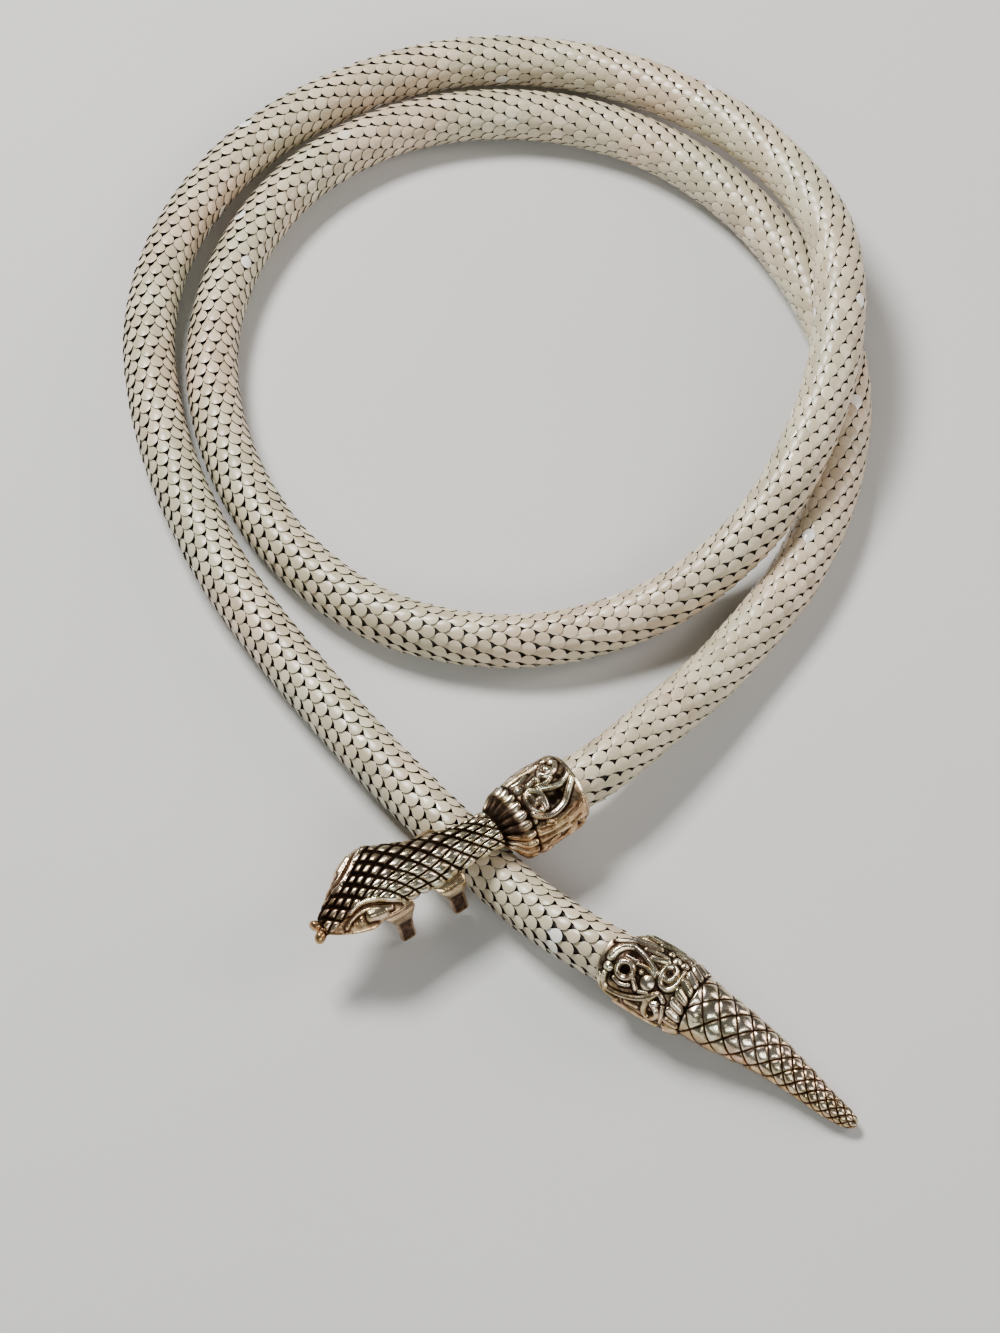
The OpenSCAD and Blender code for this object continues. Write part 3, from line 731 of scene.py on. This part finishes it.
def head_place(turn, row):
    """The head's skin from its socket to its snout: where it is, its wear and its warmth."""
    inside = row < len(BORE_XS)
    x = np.where(inside, BORE_XS[np.clip(row, 0, len(BORE_XS) - 1)],
                 HEAD_XS[np.clip(row - len(BORE_XS), 0, None)])
    share = turn / HEAD_AROUND
    upper = 0.5 + 0.2 * step(14, 20, x)
    angle = np.where(share <= upper, 180 * share / upper,
                     180 + 180 * (share - upper) / (1 - upper))
    a = np.radians(angle)
    over = angle <= 180
    w = smooth(HEAD_SHAPE, x, 3)
    tall = np.where(over, smooth(HEAD_SHAPE, x, 4), smooth(HEAD_SHAPE, x, 5, 0.8))
    wide = np.where(over, w, w - 1.1 * step(28, 30, x) * (1 - step(50, 51.4, x)))
    # The near cheek is drawn in over the front claw's root
    cheek = step(30, 38.5, x) * (1 - step(42.5, 46.5, x)) * step(0, 0.5, np.cos(a))
    wide = wide - CHEEK_IN * cheek
    # The collar and its petals
    lines, lines_wear = collar_work(x, angle, HEAD_WORK)
    on_collar = step(0.3, 0.9, x) * (1 - step(11, 11.6, x))
    drops, petal_wear_and_shade = petals_work(x, angle, *HEAD_PETALS)
    # Painted shade: the petals over the top are made darker toward their ends.
    petal_wear_and_shade = petal_wear_and_shade * (0.9 - 0.6 * step(12.8, 14.6, x) * step(0.3, 0.7, np.sin(a)))
    # The scales
    aside = math.pi / 2 - a
    cell, cushion = head_net(x, w * (0.5 * aside + 0.5 * np.sin(aside)))
    # The far side's face lies lower on the cheek, out of the viewer's sight
    face_y = np.abs(wide * np.cos(a)) - FAR_DROP * (np.cos(a) < 0)
    brow = off_line(x, face_y, bent(BROW))
    under_brow = off_line(x, face_y, bent(UNDER_BROW))
    brow_y = np.interp(x, *zip(*BROW)) + 6 * (1 - step(38.9, 39.7, x))
    face = over * step(-0.2, 0.3, face_y - brow_y)
    scaled = step(17, 17.6, x) * over * (1 - face)
    off_groove = cell * np.interp(x, [38, 45], [1.2, 0.85])
    # Brow, eye and lip
    brows = np.maximum(0.6 * rounded(brow, BROW_HALF),
                       0.45 * rounded(under_brow, UNDER_BROW_HALF)) * over
    off_eye = off_line(x, face_y, bent(EYE))
    eye = 0.75 * rounded(off_eye, EYE_HALF) * face
    spots = 0.4 * np.maximum(rounded(np.hypot(x - 47.4, face_y - 4.2), 0.55),
                             rounded(np.hypot(x - 48.8, face_y - 3.9), 0.4)) * face
    edge = np.where(over, np.minimum(angle, 180 - angle), 90) / 9
    lip = 0.35 * rounded(edge, 1) * step(36, 38, x) * over
    height = np.maximum.reduce([lines * on_collar, 0.5 * drops, 0.55 * cushion * scaled, brows,
                                eye, spots, lip])
    # Worn bright toward the viewer's side; over the top and beyond the scales are darker and flecked,
    # which is painted shade, and a little darker toward the snout.
    far = step(0.45, -0.25, aside) * step(17, 22, x)
    painted_shade_dimming = 1 - 0.14 * far - 0.08 * step(40, 46, x)
    worn = painted_shade_dimming * np.clip((off_groove - 0.04 - 0.21 * far) / 0.34, 0, 1)
    nearest = np.minimum(np.minimum(brow - 0.4, under_brow - 0.27), off_eye - 0.75)
    below = face * (0.25 + 0.5 * step(0.1, 0.8, nearest))
    wear_and_shade = np.maximum.reduce([
        lines_wear * on_collar, petal_wear_and_shade, scaled * worn,
        below, over * np.clip(0.55 - nearest / 0.3, 0, 1) * step(39, 40, x),
        step(0.05, 0.3, spots) * 0.8, step(0.02, 0.2, lip), 1 - step(0.5, 0.9, x)])
    wear_and_shade = np.where(over | (x < 13), wear_and_shade, 0.6)
    size = np.hypot(np.cos(a) / np.maximum(wide, 0.5), np.sin(a) / np.maximum(np.abs(tall), 0.5))
    y = (smooth(HEAD_SHAPE, x, 1) + wide * np.cos(a)
         + height * np.cos(a) / np.maximum(wide, 0.5) / size)
    z = (smooth(HEAD_SHAPE, x, 2) + tall * np.sin(a)
         + height * np.sin(a) / np.maximum(np.abs(tall), 0.5) / size)
    y = np.where(inside, BORE_R * np.cos(a), y)
    z = np.where(inside, BORE_R * np.sin(a), z)
    wear_and_shade = np.where(inside, 0.1, wear_and_shade)
    # Painted reflection: the lower sides, the underside, the face, the lip and the snout are coloured
    # rosier, as a reflection from the floor below, on top of a slight even tint.
    underside_reflection = step(0.74, 0.5, np.sin(a)) * step(0, 1, np.cos(a) + 0.6) * (1 - step(14, 18, x))
    warm_tint_and_reflection = np.clip(0.1 + 0.8 * underside_reflection + 0.8 * ~over + 0.45 * face + 0.5 * step(0, 0.2, lip)
                   + 0.3 * step(44, 50, x), 0, 1)
    return turned((x, y, z), HEAD_AT, HEAD_TURN), wear_and_shade, warm_tint_and_reflection


# Claws: x, then how far out and how high their root, bend and tip are
REAR_CLAW = (28.6, (4, 1.8), (6, 0.2), (5.9, -8.9))
FAR_FRONT_CLAW = (39.4, (5.8, 3.9), (5.7, 1.2), (5.3, -8.9))
NEAR_FRONT_CLAW = (39.4, (4.5, 3.5), (5.7, 1.2), (5.3, -8.9))


def claw_mesh(x, root, bend, tip, side):
    """A flat blade with a broad root, a dished face and a raised edge."""
    path = np.array(bent([root, ((root[0] + bend[0]) / 2 + 0.4, (root[1] + bend[1]) / 2 + 0.3), bend,
                          ((bend[0] + tip[0]) / 2 + 0.1, (bend[1] + tip[1]) / 2), tip], 8))
    length = np.concatenate([[0], np.cumsum(np.hypot(*np.diff(path, axis=0).T))])
    around, along = 44, 48

    def place(turn, row):
        t = row / along
        run = t * length[-1]
        y, z = (np.interp(run, length, path[:, k]) for k in (0, 1))
        ahead = np.clip(run + 0.2, 0.4, length[-1])
        dy, dz = (np.interp(ahead, length, path[:, k]) - np.interp(ahead - 0.4, length, path[:, k])
                  for k in (0, 1))
        size = np.hypot(dy, dz)
        left = length[-1] - run
        half = np.interp(t, [0, 0.12, 0.25, 0.42, 0.6, 1], [3.2, 2.9, 2.2, 1.65, 1.5, 1.6])
        half = half * np.sqrt(np.clip(1 - (1 - np.clip(left / 1.3, 0, 1)) ** 2, 0.01, 1))
        a = 2 * np.pi * turn / around
        c, d = np.cos(a), np.sin(a)
        across = np.sign(c) * np.abs(c) ** 0.6 * half
        share = np.abs(across) / np.maximum(half, 0.05)
        thick = np.sign(d) * np.abs(d) ** 0.5 * 0.6 * np.clip(left / 0.5, 0.2, 1) ** 0.5
        dish = (d > 0) * (1 - step(0.6, 0.86, share)) * step(0.3, 0.42, t) * step(0.25, 0.9, left)
        thick = thick - 0.35 * dish
        wear_and_shade = 0.95 - 0.55 * dish
        lean = 1 - 2 * t if side > 0 else 0
        points = (x + across + lean, side * (y - thick * dz / size), z + thick * dy / size)
        return turned(points, HEAD_AT, HEAD_TURN), wear_and_shade, np.full(turn.shape, 0.8)

    return loft("claw", around, along, place)


def tongue_mesh(side):
    """One lobe of the forked tongue: a neck and a knob. The far lobe is the shorter."""
    around, along = 28, 34
    reach = 3.9 if side > 0 else 3.2

    def place(turn, row):
        t = row / along
        r = np.interp(t, [0, 0.3, 0.42, 0.55, 0.75, 0.9, 0.97, 1],
                      [0.75, 0.85, 0.72, 1, 1.15, 0.85, 0.45, 0.04])
        a = 2 * np.pi * turn / around
        points = (51.6 + reach * t, 0.3 + side * (0.45 + 1.05 * t) + r * np.cos(a),
                  1.95 - 0.35 * t + r * 0.95 * np.sin(a))
        wear_and_shade = 0.72 - 0.4 * np.exp(-((t - 0.42) / 0.08) ** 2)
        return turned(points, HEAD_AT, HEAD_TURN), wear_and_shade, np.full(turn.shape, 1.0)

    return loft("tongue", around, along, place)


def joined(name, meshes, material):
    """Several closed skins as one piece."""
    bm = bmesh.new()
    for mesh in meshes:
        bm.from_mesh(mesh)
        bpy.data.meshes.remove(mesh)
    piece = bpy.data.objects.new(name, bpy.data.meshes.new(name))
    bm.to_mesh(piece.data)
    bm.free()
    bpy.context.collection.objects.link(piece)
    piece.data.materials.clear()
    piece.data.materials.append(material)
    return piece


# Putting it together

studio_floor()
studio_light()

enamel = scale_enamel()
dark = shade_inside_finish()
metal = antique_metal()
chance = random.Random(11)

scale = scale_pattern()
last_row = int((RUN[-1] - END_GAP) / ROW_PITCH)
split_row = int((SPLIT_RUN - FIRST_ROW) / ROW_PITCH)
halves = {
    "inner_loop": (range(0, split_row), 0, SPLIT_RUN, "mesh_inner_loop"),
    "outer_loop": (range(split_row, last_row + 1), SPLIT_RUN, RUN[-1], "mesh_outer_loop"),
}
for key, (rows, start, end, solid) in halves.items():
    scales = lay_scales(key + "_scales", scale, rows, enamel, chance)
    tube = inside_tube(key + "_inside", start, end, dark)
    for piece in (scales, tube):
        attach(piece, "root")
        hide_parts(solid)
bpy.data.meshes.remove(scale)

tail_skin = loft("tail", TAIL_AROUND, len(BORE_XS) + len(TAIL_XS) - 1, tail_place)
tail = joined("tail_casting", [tail_skin], metal)
head_skins = [loft("head", HEAD_AROUND, len(BORE_XS) + len(HEAD_XS) - 1, head_place)]
for side, front_claw in ((-1, FAR_FRONT_CLAW), (1, NEAR_FRONT_CLAW)):
    head_skins.append(claw_mesh(*REAR_CLAW, side))
    head_skins.append(claw_mesh(*front_claw, side))
    head_skins.append(tongue_mesh(side))
head = joined("head_casting", head_skins, metal)
for piece, solid in ((tail, "tail"), (head, "snake_head")):
    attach(piece, "root")
    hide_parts(solid)
